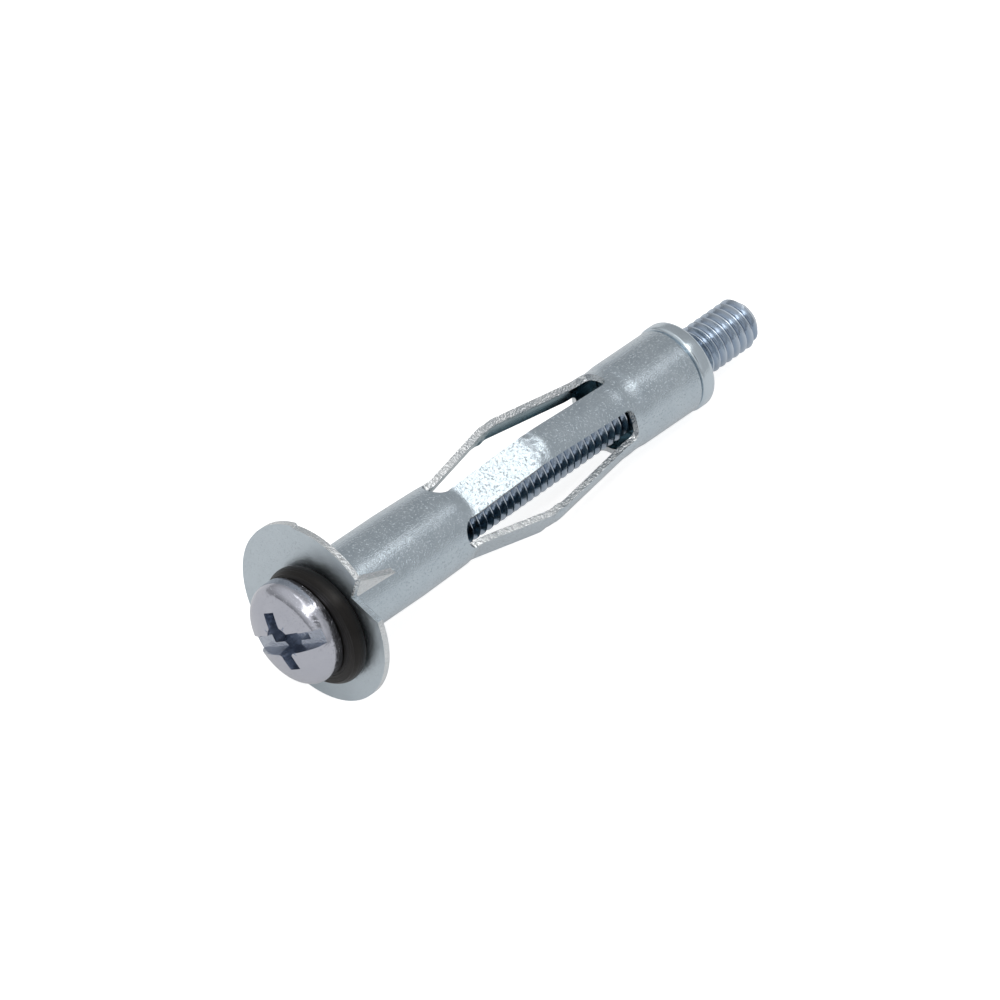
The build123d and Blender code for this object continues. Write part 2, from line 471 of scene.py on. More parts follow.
# %% [markdown]
# The quarter is copied three times round the axis and the four are joined. Their seams fall in
# the middle of the slots' width, where merging close vertices closes the tube. SKY is the
# direction that points up once the anchor lies down, and turns are counted from it. The sheet
# has no thickness yet, so the count printed here shows that its faces point outwards.

# %% Four quarters make the sleeve
SKY = -90.0
LEG_TURN = 22.3
SEAM_TOLERANCE = 0.01 * MM
PAST_FLANGE = 5.0


def turned_copy(obj, degrees):
    """A copy with its own mesh, turned about the Z axis."""
    copy = obj.copy()
    copy.data = obj.data.copy()
    bpy.context.scene.collection.objects.link(copy)
    copy.data.transform(Matrix.Rotation(math.radians(degrees), 4, "Z"))
    return copy


def join(first, others):
    """Joins other objects into the first."""
    activate(first)
    for other in others:
        other.select_set(True)
    bpy.ops.object.join()


quarters = [turned_copy(sleeve, 90 * k) for k in (1, 2, 3)]
join(sleeve, quarters)
sleeve.data.transform(Matrix.Rotation(math.radians(SKY + LEG_TURN), 4, "Z"))
edit_all(sleeve)
bpy.ops.mesh.remove_doubles(threshold=SEAM_TOLERANCE)
bpy.ops.mesh.normals_make_consistent(inside=False)
bpy.ops.object.mode_set(mode="OBJECT")
outward = sum(1 for f in sleeve.data.polygons if f.center.z > PAST_FLANGE * MM
              and f.normal.dot(Vector((f.center.x, f.center.y, 0))) > 0)
print("faces", len(sleeve.data.polygons), "of which face outwards on the tube", outward)

# %% [markdown]
# A Solidify modifier gives the sheet its half millimetre, inwards from the outer face. Its
# options put the cut edges and the inner face in material slots of their own, because sheared
# metal looks different from rolled metal, and the inside of the tube gets painted shade. The
# flange gets a slot too: the press tool left it duller. Here a flange's front is the sheet's
# inner face.

# %% Give the sheet its thickness
SHEET, SHEARED, INNER, PRESSED = range(4)
FLANGE_BEND_END = 1.5


def new_material(name):
    """An empty node-based material."""
    material = bpy.data.materials.new(name)
    material.use_nodes = True
    return material


sheet_zinc = new_material("zinc_plated_drawn_sheet")
sheared_zinc = new_material("zinc_plated_sheared_edge")
inner_shaded_zinc = new_material("zinc_plated_inner_face_painted_shade")
flange_zinc = new_material("zinc_plated_pressed_flange")
for material in (sheet_zinc, sheared_zinc, inner_shaded_zinc, flange_zinc):
    sleeve.data.materials.append(material)
apply_modifier(sleeve, "SOLIDIFY", thickness=WALL * MM, offset=-1, use_even_offset=True,
               material_offset=INNER, material_offset_rim=SHEARED)
for face in sleeve.data.polygons:
    if face.material_index == INNER and face.center.z < FLANGE_BEND_END * MM:
        face.material_index = SHEET
    if face.material_index == SHEET and face.center.z < (WALL + 0.05) * MM:
        face.material_index = PRESSED
print("vertices of the sleeve", len(sleeve.data.vertices))

# %% [markdown]
# ## Spikes and lug on the flange
#
# Two corners of the flange are sheared free and folded back to spikes that bite into the wall.
# The fold keeps a round outside. Each corner is cut away with a flat plate and a boolean, and
# the blade is a pointed plate turned up about the fold line. A thin rod along that line, the
# hem, makes its outside round. The hem is a little thinner and shorter than the blade, because
# a boolean leaves torn edges where two surfaces only just touch.

# %% Spikes
SPIKE_TURNS = (31.5, 211.5)
SPIKE_ROOT_R, SPIKE_ROOT_TURN = 5.3, 7.6
SPIKE_SWEEP, SPIKE_LENGTH, SPIKE_BEND = 28.0, 3.9, 88.0
HEM_STEPS, HEM_THINNER, HEM_SHORTER = 32, 0.02, 0.1
spike_root = polar(SPIKE_ROOT_R, SPIKE_ROOT_TURN)
fold_length = (Vector((FLANGE_R, 0, 0)) - spike_root).length
fold_turn = math.atan2(-spike_root.y, FLANGE_R - spike_root.x)
beyond = [tuple(polar(FLANGE_R + 1, SPIKE_SWEEP * k / 4)) for k in range(5)]

for turn in SPIKE_TURNS:
    about = Matrix.Rotation(math.radians(SKY + turn), 4, "Z")
    corner = plate("spike_corner", [tuple(spike_root), (FLANGE_R, 0, 0)] + beyond
                   + [tuple(polar(FLANGE_R, SPIKE_SWEEP))], 3 * WALL)
    corner.data.transform(about @ Matrix.Translation((0, 0, -WALL * MM)))
    cut_or_join(sleeve, corner, "DIFFERENCE")
    blade = plate("spike_blade", [(0, 0, 0), (fold_length, 0, 0), (0, SPIKE_LENGTH, 0)], WALL)
    bpy.ops.object.select_all(action="DESELECT")
    bpy.ops.mesh.primitive_cylinder_add(vertices=HEM_STEPS,
                                        radius=(WALL / 2 - HEM_THINNER) * MM,
                                        depth=(fold_length - HEM_SHORTER) * MM)
    hem = bpy.context.object
    hem.data.transform(Matrix.Translation((fold_length / 2 * MM, 0, WALL / 2 * MM))
                       @ Matrix.Rotation(math.pi / 2, 4, "Y"))
    cut_or_join(blade, hem, "UNION")
    place = Matrix.Translation((spike_root.x * MM, spike_root.y * MM, WALL / 2 * MM))
    bend = Matrix.Rotation(fold_turn, 4, "Z") @ Matrix.Rotation(math.radians(SPIKE_BEND), 4, "X")
    blade.data.transform(about @ place @ bend @ Matrix.Translation((0, 0, -WALL / 2 * MM)))
    for face in blade.data.polygons:
        face.material_index = SHEARED
    cut_or_join(sleeve, blade, "UNION")
print("vertices with spikes", len(sleeve.data.vertices))

# %% [markdown]
# The flange's rim grows by a fifth of a millimetre towards the place where the blank was parted
# from its strip, and ends there in a step. Two bisects close together give the step its
# vertices, and those before it are pushed out.

# %% The lug
LUG_TURN, LUG_SWEEP, LUG_RISE = -62.0, 40.0, 0.2
STEP_WIDTH, STEP_SEARCH, RIM_WIDTH = 0.8, 6, 0.8
lug_end = SKY + LUG_TURN + LUG_SWEEP


def degrees_from_lug_end(place):
    """Angle about the axis, counted from where the lug ends in its step."""
    turn = math.degrees(math.atan2(place.y, place.x)) - lug_end
    return (turn + 180) % 360 - 180


def near_step(face):
    """A face at the flange's rim, close to the step."""
    middle = face.calc_center_median() / MM
    return (middle.z < WALL + NEAR and math.hypot(middle.x, middle.y) > FLANGE_R - RIM_WIDTH
            and abs(degrees_from_lug_end(middle)) < STEP_SEARCH)


activate(sleeve)
for turn in (lug_end, lug_end + STEP_WIDTH):
    pick(sleeve, "FACE", near_step)
    bpy.ops.mesh.bisect(plane_co=(0, 0, 0), plane_no=polar(1, turn + 90),
                        threshold=CUT_TOLERANCE)
bpy.ops.object.mode_set(mode="OBJECT")
pushed = 0
for vertex in sleeve.data.vertices:
    radius = math.hypot(vertex.co.x, vertex.co.y) / MM
    before_step = -degrees_from_lug_end(vertex.co)
    on_rim = vertex.co.z < (WALL + 0.1) * MM and radius > FLANGE_R - 0.1
    if on_rim and -STEP_WIDTH / 4 < before_step < LUG_SWEEP:
        grown = (FLANGE_R + LUG_RISE * (1 - before_step / LUG_SWEEP)) / radius
        vertex.co.x *= grown
        vertex.co.y *= grown
        pushed += 1
print("rim vertices pushed out to the lug", pushed)

# %% [markdown]
# No sheared edge is razor sharp. A small bevel on every hard edge catches a thin line of light,
# which is most of what makes a metal edge look real. The sleeve is then laid on the frame.

# %% Break the edges and lay the sleeve down


def break_edges(obj, width, degrees):
    """A small bevel on each edge sharper than an angle, then without its slivers."""
    apply_modifier(obj, "BEVEL", width=width * MM, segments=2, limit_method="ANGLE",
                   angle_limit=math.radians(degrees), use_clamp_overlap=True)
    merge_slivers(obj)


break_edges(sleeve, 0.045, 50)
smooth(sleeve, 32)
lay_down(sleeve, sleeve_lay)
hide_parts("sleeve")
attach(sleeve, "anchor")
print("sleeve triangles about", 2 * len(sleeve.data.polygons))

# %% [markdown]
# ## The nut in the tail
#
# A short threaded bush is pressed into the tube and the tube's end is rolled tight on it. From
# outside one sees a ring with a rounded rear edge and a sunk mouth round the screw. It is a
# turned part, so it is drawn as half an outline and spun. Its thread shows only when the screw
# is backed out, and the eye can't tell a helix from rings in there, so rings are enough.

# %% The nut
PITCH = 0.7
NUT_R, NUT_END, NUT_EDGE_R, NUT_SEAM_R = 3.45, 38.0, 0.45, 0.26
BORE_R, BARREL_R, BARREL_Z, COLLAR_Z = 2.0, 2.84, 32.1, SLEEVE_END + 0.005
TAP_START, TAP_WAVE = BARREL_Z + 0.45, (0, 0.1, 0.12, 0.1)
tapped = [(BORE_R + TAP_WAVE[k % 4], 0, TAP_START + PITCH * k / 4) for k in range(29)]
barrel = [(BORE_R, 0, BARREL_Z + 0.3), (BORE_R + 0.28, 0, BARREL_Z),
          (BARREL_R - 0.1, 0, BARREL_Z), (BARREL_R, 0, BARREL_Z + 0.1), (BARREL_R, 0, COLLAR_Z)]
collar = ([(NUT_R - NUT_SEAM_R, 0, COLLAR_Z)]
          + arc((NUT_R - NUT_SEAM_R, COLLAR_Z + NUT_SEAM_R), NUT_SEAM_R, -75, 0, 6)
          + arc((NUT_R - NUT_EDGE_R, NUT_END - NUT_EDGE_R), NUT_EDGE_R, 0, 90, 8))
mouth = [(2.62, 0, NUT_END), (2.55, 0, NUT_END - 0.08), (2.3, 0, NUT_END - 0.12),
         (BORE_R, 0, NUT_END - 0.42)]
nut = spin_piece("nut_ring", barrel + collar + mouth + tapped[::-1] + barrel[:1], 96)
nut_zinc = new_material("zinc_plated_turned_nut")
nut.data.materials.append(nut_zinc)
smooth(nut, 32)
lay_down(nut, sleeve_lay)
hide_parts("nut")
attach(nut, "anchor")
print("nut faces", len(nut.data.polygons))

# %% [markdown]
# ## The screw's thread
#
# A rolled M4 thread climbs 0.7 mm a turn. It could be faked with a bump, but its outline shows
# against the white behind the tail and between the legs, so it is real here: one pitch of the
# profile, carried round and up by a Screw modifier. The profile has the round root and narrow
# crest of a rolled thread. The helix is made too long and cut flat at both ends.
#
# The height of the head's seat follows from the washer: its thickness, a hair of air, and what
# the screw's lean takes up at the edge of the washer.

# %% The threaded shank
WASHER_R, WASHER_T, WASHER_SHIFT, AIR = 4.65, 1.2, 0.76, 0.01
CREST_R, ROOT_R = 1.95, 1.6
lean = sleeve_axis.angle(screw_axis)
SEAT_Z = -WASHER_T - AIR - (WASHER_R + WASHER_SHIFT) * math.sin(lean)
SCREW_LENGTH = 45.8
TIP_Z = SEAT_Z + SCREW_LENGTH
TURNS, THREAD_STEPS = 67, 48

ridge = [(ROOT_R, 0, 0), (ROOT_R + 0.02, 0, 0.08), (ROOT_R + 0.08, 0, 0.16),
         (CREST_R - 0.08, 0, 0.285), (CREST_R - 0.01, 0, 0.325), (CREST_R, 0, 0.35),
         (CREST_R - 0.01, 0, 0.375), (CREST_R - 0.08, 0, 0.415), (ROOT_R + 0.08, 0, 0.54),
         (ROOT_R + 0.02, 0, 0.62), (ROOT_R, 0, PITCH)]
thread = draw_line("screw_shank", [(x, y, z + SEAT_Z - 1.5 * PITCH) for x, y, z in ridge])
apply_modifier(thread, "SCREW", axis="Z", screw_offset=PITCH * MM, iterations=TURNS,
               steps=THREAD_STEPS, render_steps=THREAD_STEPS, use_normal_calculate=True)
edit_all(thread)
bpy.ops.mesh.remove_doubles(threshold=2 * CUT_TOLERANCE)
bpy.ops.mesh.normals_make_consistent(inside=False)
bpy.ops.object.mode_set(mode="OBJECT")
print("thread faces", len(thread.data.polygons), "tip at", round(TIP_Z, 2))

# %% [markdown]
# The tip has a small chamfer, as the wire was before its thread was rolled. Vertices that stand
# outside the chamfer's cone are drawn in to it, then the tip and the root under the head are
# cut flat and closed.

# %% Cut the shank to length
TIP_CHAMFER = 0.55
for vertex in thread.data.vertices:
    radius = math.hypot(vertex.co.x, vertex.co.y) / MM
    allowed = CREST_R - TIP_CHAMFER + max(0.0, TIP_Z - vertex.co.z / MM)
    if radius > allowed:
        vertex.co.x *= allowed / radius
        vertex.co.y *= allowed / radius
for z, normal in ((TIP_Z, (0, 0, 1)), (SEAT_Z + 2 * AIR, (0, 0, -1))):
    edit_all(thread)
    bpy.ops.mesh.bisect(plane_co=(0, 0, z * MM), plane_no=normal, use_fill=True,
                        clear_outer=True, threshold=CUT_TOLERANCE)
bpy.ops.object.mode_set(mode="OBJECT")
screw_zinc = new_material("zinc_plated_rolled_thread")
thread.data.materials.append(screw_zinc)
smooth(thread, 40)
print("shank faces", len(thread.data.polygons))

# %% [markdown]
# ## The screw's head and its drive
#
# A pan head is struck cold from the end of the wire: a flat crown, a rounded shoulder and a
# short straight side. Its outline is spun, with a short plug below the seat that runs into the
# shank.

# %% The head
HEAD_R, HEAD_HEIGHT, CROWN_R, SHOULDER_R = 4.0, 2.35, 10.0, 1.05
PLUG_R, PLUG_LENGTH, SEAT_CHAMFER = 1.2, 0.3, 0.08
CROWN_Z = SEAT_Z - HEAD_HEIGHT
shoulder_x = HEAD_R - SHOULDER_R
shoulder_z = CROWN_Z + CROWN_R - math.sqrt((CROWN_R - SHOULDER_R) ** 2 - shoulder_x ** 2)
crown_end = -math.degrees(math.acos(shoulder_x / (CROWN_R - SHOULDER_R)))
crown = arc((0, CROWN_Z + CROWN_R), CROWN_R, -90, crown_end, 12)
shoulder = arc((shoulder_x, shoulder_z), SHOULDER_R, crown_end, 0, 10)
head_outline = ([(0, 0, CROWN_Z)] + crown[1:] + shoulder[1:]
                + [(HEAD_R, 0, SEAT_Z - SEAT_CHAMFER), (HEAD_R - SEAT_CHAMFER, 0, SEAT_Z),
                   (PLUG_R, 0, SEAT_Z), (PLUG_R, 0, SEAT_Z + PLUG_LENGTH),
                   (0, 0, SEAT_Z + PLUG_LENGTH)])
head = spin_piece("screw_head", head_outline, 120)
print("crown at", round(CROWN_Z, 3), "shoulder starts at radius", round(crown[-1][0], 2))

# %% [markdown]
# The drive is a straight slot and a tapered cross, struck by one punch, so a flat blade and a
# cross driver both fit. The punch is made as the toolmaker would: a cone for the core, two
# tapered bars for the cross, a long one for the slot a little off the middle, and four thin
# ticks between the arms of the cross. A boolean then strikes it into the head.

# %% The punch of the drive
SLOT_W, SLOT_DEPTH, SLOT_SHIFT, SLOT_TAPER = 1.5, 1.15, 0.22, 10.0
CROSS_SPAN, CROSS_W, CROSS_DEPTH, CROSS_TAPER = 4.6, 1.2, 2.2, 8.0
CORE_MOUTH_R, CORE_END_R, PUNCH_OVER = 1.32, 0.94, 0.5
TICK_LENGTH, TICK_W, TICK_DEPTH, TICK_PLACE = 1.3, 0.14, 0.13, 1.95


def tapered_block(length, width, depth, taper, middle):
    """A block whose lower end, deep in the head, is narrower by a taper on every side."""
    bpy.ops.object.select_all(action="DESELECT")
    bpy.ops.mesh.primitive_cube_add(size=MM)
    block = bpy.context.object
    slope = math.tan(math.radians(taper))
    for vertex in block.data.vertices:
        below = depth if vertex.co.z > 0 else -PUNCH_OVER
        vertex.co.x = math.copysign(length / 2 - below * slope, vertex.co.x) * MM + middle[0] * MM
        vertex.co.y = math.copysign(width / 2 - below * slope, vertex.co.y) * MM + middle[1] * MM
        vertex.co.z = (CROWN_Z + below) * MM
    return block


bpy.ops.mesh.primitive_cone_add(vertices=48, depth=(CROSS_DEPTH + PUNCH_OVER) * MM,
                                radius1=CORE_MOUTH_R * MM, radius2=CORE_END_R * MM)
punch = bpy.context.object
core_middle = CROWN_Z + (CROSS_DEPTH - PUNCH_OVER) / 2
punch.data.transform(Matrix.Translation((0, 0, core_middle * MM)))
for block in (tapered_block(CROSS_SPAN, CROSS_W, CROSS_DEPTH, CROSS_TAPER, (0, 0)),
              tapered_block(CROSS_W, CROSS_SPAN, CROSS_DEPTH, CROSS_TAPER, (0, 0)),
              tapered_block(4 * HEAD_R, SLOT_W, SLOT_DEPTH, SLOT_TAPER, (0, SLOT_SHIFT))):
    cut_or_join(punch, block, "UNION")
for quarter in range(4):
    tick = tapered_block(TICK_LENGTH, TICK_W, TICK_DEPTH, 0.0, (TICK_PLACE, 0))
    tick.data.transform(Matrix.Rotation(math.radians(45 + 90 * quarter), 4, "Z"))
    cut_or_join(punch, tick, "UNION")
print("faces of the punch", len(punch.data.polygons))

# %% Strike the drive into the head
DRIVE_TURN = 50.0
STRUCK = 1
punch.data.transform(Matrix.Rotation(math.radians(SKY + DRIVE_TURN), 4, "Z"))
head_zinc = new_material("zinc_plated_struck_head")
recess_zinc = new_material("zinc_plated_struck_recess")
for material in (head_zinc, recess_zinc):
    head.data.materials.append(material)
for face in punch.data.polygons:
    face.material_index = STRUCK
cut_or_join(head, punch, "DIFFERENCE")
break_edges(head, 0.05, 40)
smooth(head, 30)
print("faces of the head", len(head.data.polygons))

# %% [markdown]
# Head and shank are joined, since they are one screw. The wire's cut end at the tip isn't
# rolled, so it gets the plain finish of the head.

# %% Head and shank are one screw
join(thread, [head])
screw = thread
screw.name = "screw_turned"
for face in screw.data.polygons:
    if face.center.z > (TIP_Z - AIR) * MM:
        face.material_index = screw.data.materials.find(head_zinc.name)
lay_down(screw, screw_lay)
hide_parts("screw")
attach(screw, "screw")
print("screw faces", len(screw.data.polygons), [m.name for m in screw.data.materials])

# %% [markdown]
# ## The washer
#
# A black ring with a rounded rim sits between the head and the flange, a little off centre. Its
# rim shows faint rings from the mould. A spun outline with shallow waves gives those rings real
# edges to catch the light.

# %% The washer
WASHER_BULGE, WASHER_TURN, WASHER_HOLE, HOLE_EDGE = 0.3, 66.0, 2.76, 0.05
RIM_STEPS, RING_EVERY, RING_DEPTH = 36, 4, 0.012
rim_r = (WASHER_BULGE ** 2 + (WASHER_T / 2) ** 2) / (2 * WASHER_BULGE)
rim_turn = math.degrees(math.asin(WASHER_T / 2 / rim_r))
rim = arc((WASHER_R - rim_r, SEAT_Z + WASHER_T / 2), rim_r, -rim_turn, rim_turn, RIM_STEPS)
ringed = [(x - RING_DEPTH * (k % RING_EVERY == 2), 0, z) for k, (x, y, z) in enumerate(rim)]
front = [(WASHER_HOLE, 0, SEAT_Z + HOLE_EDGE), (WASHER_HOLE + HOLE_EDGE, 0, SEAT_Z)]
rear = [(WASHER_HOLE + HOLE_EDGE, 0, SEAT_Z + WASHER_T),
        (WASHER_HOLE, 0, SEAT_Z + WASHER_T - HOLE_EDGE)]
washer = spin_piece("washer_ring", front + ringed + rear + front[:1], 128)
washer_shift = Matrix.Translation(polar(WASHER_SHIFT, SKY + WASHER_TURN) * MM)
washer.data.transform(washer_shift)
washer_black = new_material("moulded_black_plastic")
washer.data.materials.append(washer_black)
smooth(washer, 60)
lay_down(washer, screw_lay)
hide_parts("washer")
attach(washer, "washer")
print("washer faces", len(washer.data.polygons))

# %% [markdown]
# ## Zinc on steel
#
# Bright zinc plating is a thin, slightly blue metal coat. It is not a mirror: the steel under it
# keeps the marks of drawing, shearing and pressing, and the plating adds fine grain. So each
# finish is a metal with the same hue, whose roughness and small bumps say how the surface was
# made. Patterns read Object coordinates, turned by a Mapping node so that Z runs along the
# anchor, and their scales come from millimetres.

# %% Helpers for materials


def linear(code):
    """A colour written as sRGB hex, as the linear values that a node wants."""
    channels = [int(code[k:k + 2], 16) / 255 for k in (1, 3, 5)]
    return tuple(c / 12.92 if c <= 0.04045 else ((c + 0.055) / 1.055) ** 2.4
                 for c in channels) + (1.0,)


def add_node(material, kind, settings=None, links=None, **values):
    """Adds a node: settings are its properties, links and values go to its inputs."""
    node = material.node_tree.nodes.new(kind)
    for name, value in (settings or {}).items():
        setattr(node, name, value)
    for name, value in values.items():
        node.inputs[name.replace("_", " ")].default_value = value
    for name, socket in (links or {}).items():
        material.node_tree.links.new(socket, node.inputs[name])
    return node


def upright_coordinates(material, lay, stretch=(1, 1, 1)):
    """Object coordinates turned so that Z runs along the piece, in metres times a stretch."""
    back = lay.inverted()
    coordinates = add_node(material, "ShaderNodeTexCoord")
    turned = add_node(material, "ShaderNodeMapping",
                      links={"Vector": coordinates.outputs["Object"]},
                      Location=back.to_translation(), Rotation=back.to_euler())
    stretched = add_node(material, "ShaderNodeMapping",
                         links={"Vector": turned.outputs["Vector"]}, Scale=stretch)
    return stretched.outputs["Vector"]


def shader_of(material):
    """The material's own Principled shader."""
    return material.node_tree.nodes["Principled BSDF"]


def set_shader(material, **values):
    """Sets sockets of the Principled shader by name."""
    for name, value in values.items():
        shader_of(material).inputs[name.replace("_", " ")].default_value = value


def link_shader(material, name, output):
    """Links an output to a socket of the Principled shader."""
    material.node_tree.links.new(output, shader_of(material).inputs[name])


def per_mm(size):
    """Texture scale at which one cell of a pattern is a size in millimetres."""
    return 1 / (size * MM)


print("one millimetre pattern scale", per_mm(1))

# %% [markdown]
# Every zinc finish shares one recipe. Soft patches of over a millimetre, where the plating took
# a little more or less sheen, shift its tint and roughness. Bumps on top of each other then say
# how the surface was made: each has a grain size and a depth in millimetres, and a stretch that
# draws it out along the anchor where a tool drew the metal.

# %% The recipe for zinc
COLOUR_A, COLOUR_B, COLOUR_OUT = 6, 7, 2
PATCH_SIZE, ROUGH_SWING = 1.6, 0.05


def mixed_colour(material, factor, first, second):
    """A colour between two sRGB hex colours."""
    mix = add_node(material, "ShaderNodeMix", {"data_type": "RGBA"}, {"Factor": factor})
    mix.inputs[COLOUR_A].default_value = linear(first)
    mix.inputs[COLOUR_B].default_value = linear(second)
    return mix.outputs[COLOUR_OUT]


def zinc_colour(material, plain, tint, shade):
    """Tint and shade in soft patches over a millimetre wide. Gives back the patches."""
    patches = add_node(material, "ShaderNodeTexNoise", links={"Vector": plain},
                       Scale=per_mm(PATCH_SIZE), Detail=5.0, Roughness=0.6).outputs["Fac"]
    link_shader(material, "Base Color", mixed_colour(material, patches, shade, tint))
    return patches


def remap(material, value, spread, result):
    """A value taken from one spread to another, and held at the ends."""
    node = add_node(material, "ShaderNodeMapRange", links={"Value": value})
    for name, end in zip(("From Min", "From Max", "To Min", "To Max"), spread + result):
        node.inputs[name].default_value = end
    return node.outputs["Result"]


def bumped(material, height, below, strength, depth):
    """A bump of a depth in millimetres, on top of the bump below it."""
    node = add_node(material, "ShaderNodeBump", links={"Height": height},
                    Strength=strength, Distance=depth * MM)
    if below is not None:
        material.node_tree.links.new(below, node.inputs["Normal"])
    return node.outputs["Normal"]


def finish_zinc(material, lay, tint, shade, rough, marks):
    """Bright zinc. Marks are (size in mm, stretch, low, high, depth in mm) of each bump."""
    set_shader(material, Metallic=1.0)
    patches = zinc_colour(material, upright_coordinates(material, lay), tint, shade)
    roughness = remap(material, patches, (0.3, 0.7), (rough - ROUGH_SWING, rough + ROUGH_SWING))
    link_shader(material, "Roughness", roughness)
    normal = None
    for size, stretch, low, high, depth in marks:
        place = upright_coordinates(material, lay, stretch)
        grain = add_node(material, "ShaderNodeTexNoise", links={"Vector": place},
                         Scale=per_mm(size), Detail=3.0, Roughness=0.55)
        height = remap(material, grain.outputs["Fac"], (low, high), (0.0, 1.0))
        normal = bumped(material, height, normal, 1.0, depth)
    link_shader(material, "Normal", normal)


EVEN, DRAWN = (1, 1, 1), (1, 1, 0.12)
print("zinc recipe ready")

# %% [markdown]
# The drawn sheet has long, faint draw lines along the axis, a fine orange peel that breaks up
# reflections, a few deeper pits that glitter where light falls flat, and a slow waviness.

# %% Drawn sheet
finish_zinc(sheet_zinc, sleeve_lay, "#C4CFD7", "#ADBAC4", 0.21,
            [(0.25, DRAWN, 0.3, 0.7, 0.003), (0.1, EVEN, 0.3, 0.7, 0.008),
             (0.16, EVEN, 0.58, 0.72, 0.022), (0.7, EVEN, 0.3, 0.7, 0.006)])
print("finish", sheet_zinc.name)

# %% [markdown]
# The press tool left the flange duller and even: it shows no sharp image of the room, only a
# soft grey with small pits. The sheared edges are bright and rough, with torn grain that
# sparkles in a thin line. The inside of the tube is seen in its own shadow, so it gets painted
# shade: a darker and bluer colour.

# %% Pressed flange, sheared edge and inner face
finish_zinc(flange_zinc, sleeve_lay, "#CAD4DB", "#B5C0C8", 0.34,
            [(0.11, EVEN, 0.3, 0.7, 0.01), (0.16, EVEN, 0.6, 0.72, 0.025),
             (0.6, EVEN, 0.3, 0.7, 0.01)])
finish_zinc(sheared_zinc, sleeve_lay, "#F2F4F5", "#AEB7BE", 0.16,
            [(0.2, EVEN, 0.35, 0.65, 0.03)])
# Painted shade: the inner face is coloured darker and bluer than the sheet.
finish_zinc(inner_shaded_zinc, sleeve_lay, "#809BA4", "#69848E", 0.25,
            [(0.2, DRAWN, 0.3, 0.7, 0.003)])
print("finishes", flange_zinc.name, sheared_zinc.name, inner_shaded_zinc.name)

# %% [markdown]
# The turned nut is smooth, with a clean rim of light round its rear edge. The rolled thread is
# smooth on its flanks and mirrors bright and dark by turns. Its valleys get painted shade: the
# colour darkens with depth, measured as the distance from the axis.

# %% Turned nut and rolled thread


def radius_of(material, lay):
    """How far a point is from the axis of its piece, in metres."""
    flat = upright_coordinates(material, lay, (1, 1, 0))
    length = add_node(material, "ShaderNodeVectorMath", {"operation": "LENGTH"}, {0: flat})
    return length.outputs["Value"]


def paint_valley_shade(material, lay, root_r, crest_r, valley_shade):
    """Painted shade: multiplies the colour by a darker one towards the thread's root."""
    depth = remap(material, radius_of(material, lay), (root_r * MM, crest_r * MM), (1.0, 0.0))
    plain = shader_of(material).inputs["Base Color"].links[0].from_socket
    valley_shade_mix = add_node(material, "ShaderNodeMix", {"data_type": "RGBA", "blend_type": "MULTIPLY"},
                    {"Factor": depth, COLOUR_A: plain})
    valley_shade_mix.inputs[COLOUR_B].default_value = linear(valley_shade)
    link_shader(material, "Base Color", valley_shade_mix.outputs[COLOUR_OUT])


finish_zinc(nut_zinc, sleeve_lay, "#CBD6DE", "#B9C5CE", 0.22,
            [(0.2, EVEN, 0.3, 0.7, 0.003)])
finish_zinc(screw_zinc, screw_lay, "#CBD5E0", "#B4C0CE", 0.2,
            [(0.15, EVEN, 0.3, 0.7, 0.003)])
# Painted shade: the thread's colour darkens towards its root.
paint_valley_shade(screw_zinc, screw_lay, ROOT_R + 0.02, CREST_R - 0.04, "#BEC8D4")
print("finishes", nut_zinc.name, screw_zinc.name)

# %% [markdown]
# The struck head is the brightest finish, slightly warmer, with a soft waviness that bends the
# strip light on its shoulder. Inside the drive the punch dragged the metal downwards, so the
# walls are scored and mirror both light and dark.

# %% Struck head and struck recess
finish_zinc(head_zinc, screw_lay, "#BFC1CA", "#AEB1BC", 0.17,
            [(0.3, EVEN, 0.3, 0.7, 0.003), (0.14, EVEN, 0.6, 0.72, 0.01),
             (1.1, EVEN, 0.3, 0.7, 0.012)])
finish_zinc(recess_zinc, screw_lay, "#CDD3DD", "#98A1B2", 0.16,
            [(0.16, DRAWN, 0.35, 0.65, 0.035)])
print("finishes", head_zinc.name, recess_zinc.name)

# %% [markdown]
# ## Black plastic
#
# The washer is moulded in black plastic: not pure black, a little warm, with a satin sheen that
# varies with handling, and fine rings from the tool. The rings are a noise that reads only the
# distance from the washer's own axis and the height along it.

# %% Black plastic
set_shader(washer_black, Metallic=0.0, IOR=1.5, Specular_IOR_Level=0.25)
washer_lay = screw_lay @ washer_shift
ring_space = upright_coordinates(washer_black, washer_lay)
along = add_node(washer_black, "ShaderNodeSeparateXYZ", links={"Vector": ring_space})
ring_place = add_node(washer_black, "ShaderNodeCombineXYZ",
                      links={"X": radius_of(washer_black, washer_lay), "Y": along.outputs["Z"]})
rings = add_node(washer_black, "ShaderNodeTexNoise", {"noise_dimensions": "2D"},
                 {"Vector": ring_place.outputs["Vector"]}, Scale=per_mm(0.13), Detail=2.0)
dust = add_node(washer_black, "ShaderNodeTexNoise", links={"Vector": ring_space},
                Scale=per_mm(0.5), Detail=6.0, Roughness=0.65).outputs["Fac"]
streaks = bumped(washer_black, rings.outputs["Fac"], None, 1.0, 0.06)
link_shader(washer_black, "Base Color", mixed_colour(washer_black, dust, "#070606", "#181513"))
link_shader(washer_black, "Roughness", remap(washer_black, dust, (0.0, 1.0), (0.22, 0.42)))
link_shader(washer_black, "Normal", bumped(washer_black, dust, streaks, 0.3, 0.03))
print("washer material", washer_black.name)

# %% [markdown]
# ## Floor and light
#
# Metal shows what is round it, so lighting metal means choosing what it mirrors. The floor
# comes first: a pale diffuse white that keeps the soft shadow. For the camera and for mirror
# rays only, a little glow of its own brings it to the white of a product photograph, without
# adding light to the object. The flange's front and the screw's crown mirror this floor, so
# its glow for mirror rays sets their grey.

